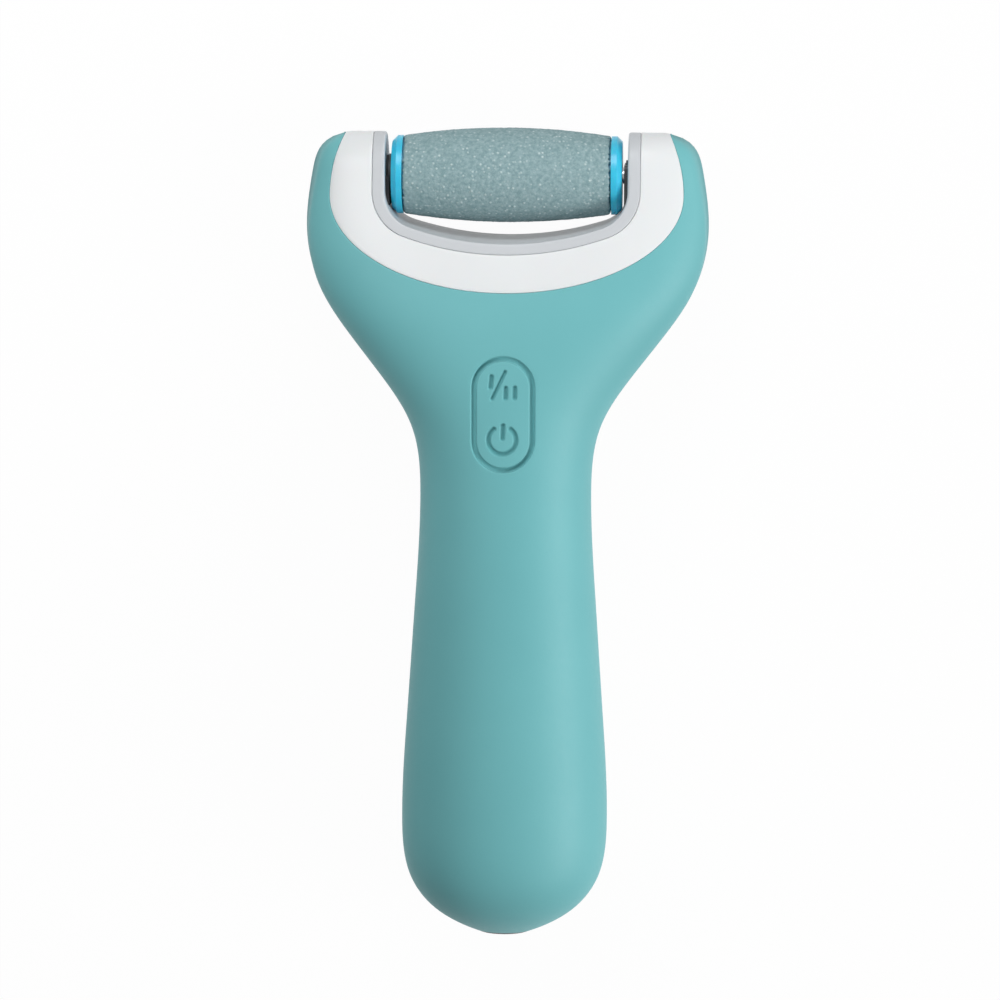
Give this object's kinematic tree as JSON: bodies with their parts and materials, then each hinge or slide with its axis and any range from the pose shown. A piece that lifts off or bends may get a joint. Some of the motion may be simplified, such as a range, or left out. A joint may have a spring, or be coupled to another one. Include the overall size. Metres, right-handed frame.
{
  "type": "electric callus remover",
  "caption": "Cordless foot file: tapering round handle, flared forked head, and a powered crowned abrasive roller between the arms.",
  "frame": {"origin": "centre of the bounding box at the height of its lowest point, the back that it rests on", "axes": "+Y along the handle towards the roller; +Z out of the front face with the button; +X to the right seen from the front"},
  "size_m": [0.0782, 0.1584, 0.0342],
  "materials": {
    "soft_teal": "satin soft-touch moulded plastic, teal",
    "white_plastic": "white moulded plastic, lightly glossy",
    "grey_plastic": "light grey satin moulded plastic",
    "teal_rubber": "soft teal silicone",
    "screw_steel": "zinc-plated steel",
    "board_green": "glass-fibre circuit board with green mask",
    "black_plastic": "black moulded plastic",
    "cell_wrap": "blue shrink sleeve over a steel can",
    "contact_metal": "brass contact",
    "motor_steel": "drawn steel motor can",
    "bell_plastic": "natural nylon end bell",
    "bright_steel": "ground steel pin",
    "gear_nylon": "natural acetal gear",
    "gear_brass": "turned brass pinion",
    "frame_plastic": "dark glass-filled nylon",
    "bush_bronze": "sintered bronze",
    "black_rubber": "black rubber seal",
    "cap_blue": "translucent bright blue plastic",
    "core_plastic": "blue moulded core",
    "abrasive": "blue-grey abrasive with fine mineral grains",
    "spring_steel": "spring wire"
  },
  "bodies": {
    "housing": {"front_shell": "soft_teal", "back_shell": "soft_teal", "front_fascia": "white_plastic", "back_fascia": "white_plastic", "saddle_liner": "grey_plastic", "shell_screws": "screw_steel", "button_seal": "teal_rubber", "circuit_board": "board_green", "board_screws": "screw_steel", "tactile_switches": "black_plastic", "board_components": "black_plastic", "battery_cell": "cell_wrap", "charging_socket": "black_plastic", "socket_pin": "contact_metal", "motor_can": "motor_steel", "motor_end_bell": "bell_plastic", "gearbox_frame": "frame_plastic", "gear_cover": "frame_plastic", "gearbox_screws": "screw_steel", "compound_axle": "bright_steel", "inner_idler_axle": "bright_steel", "outer_idler_axle": "bright_steel", "drive_bush": "bush_bronze", "shaft_seal": "black_rubber", "pin_guide": "frame_plastic", "pin_spring": "spring_steel"},
    "roller": {"drive_gear": "gear_nylon", "drive_hub": "frame_plastic", "drive_end_cap": "cap_blue", "idle_end_cap": "cap_blue", "roller_core": "core_plastic", "abrasive_sleeve": "abrasive"},
    "outer_idler": {"outer_idler_gear": "gear_nylon"},
    "inner_idler": {"inner_idler_gear": "gear_nylon"},
    "compound": {"compound_gear": "gear_nylon"},
    "rotor": {"motor_shaft": "bright_steel", "motor_pinion": "gear_brass"},
    "button": {"button_pad": "soft_teal", "rocker_lever": "frame_plastic"},
    "catch": {"release_pin": "bright_steel", "release_slider": "grey_plastic"}
  },
  "joints": [
    {"name": "roller_spin", "type": "hinge", "parent": "housing", "child": "roller", "pos_m": [0, 0.06995, 0.0135], "axis": [1, 0, 0], "continuous": true},
    {"name": "outer_idler_spin", "type": "hinge", "parent": "housing", "child": "outer_idler", "pos_m": [0, 0.06295, 0.01352], "axis": [1, 0, 0], "continuous": true},
    {"name": "inner_idler_spin", "type": "hinge", "parent": "housing", "child": "inner_idler", "pos_m": [0, 0.05495, 0.01355], "axis": [1, 0, 0], "continuous": true},
    {"name": "compound_spin", "type": "hinge", "parent": "housing", "child": "compound", "pos_m": [0, 0.04795, 0.01357], "axis": [1, 0, 0], "continuous": true},
    {"name": "motor_spin", "type": "hinge", "parent": "housing", "child": "rotor", "pos_m": [0, 0.03845, 0.0136], "axis": [1, 0, 0], "continuous": true},
    {"name": "button_rock", "type": "hinge", "parent": "housing", "child": "button", "pos_m": [0, 0.025, 0.0262], "axis": [1, 0, 0], "range_deg": [-2, 2], "stiffness_Nm_per_rad": 0.05, "deforming": ["button_seal"]},
    {"name": "release_slide", "type": "slide", "parent": "housing", "child": "catch", "axis": [1, 0, 0], "range_m": [0, 0.002], "stiffness_N_per_m": 600, "springref_m": -0.001, "deforming": ["pin_spring"]}
  ],
  "couplings": [
    {"joint": "outer_idler_spin", "follows": "roller_spin", "ratio": -0.75},
    {"joint": "inner_idler_spin", "follows": "roller_spin", "ratio": 0.75},
    {"joint": "compound_spin", "follows": "roller_spin", "ratio": -1},
    {"joint": "motor_spin", "follows": "roller_spin", "ratio": 2.1667}
  ]
}
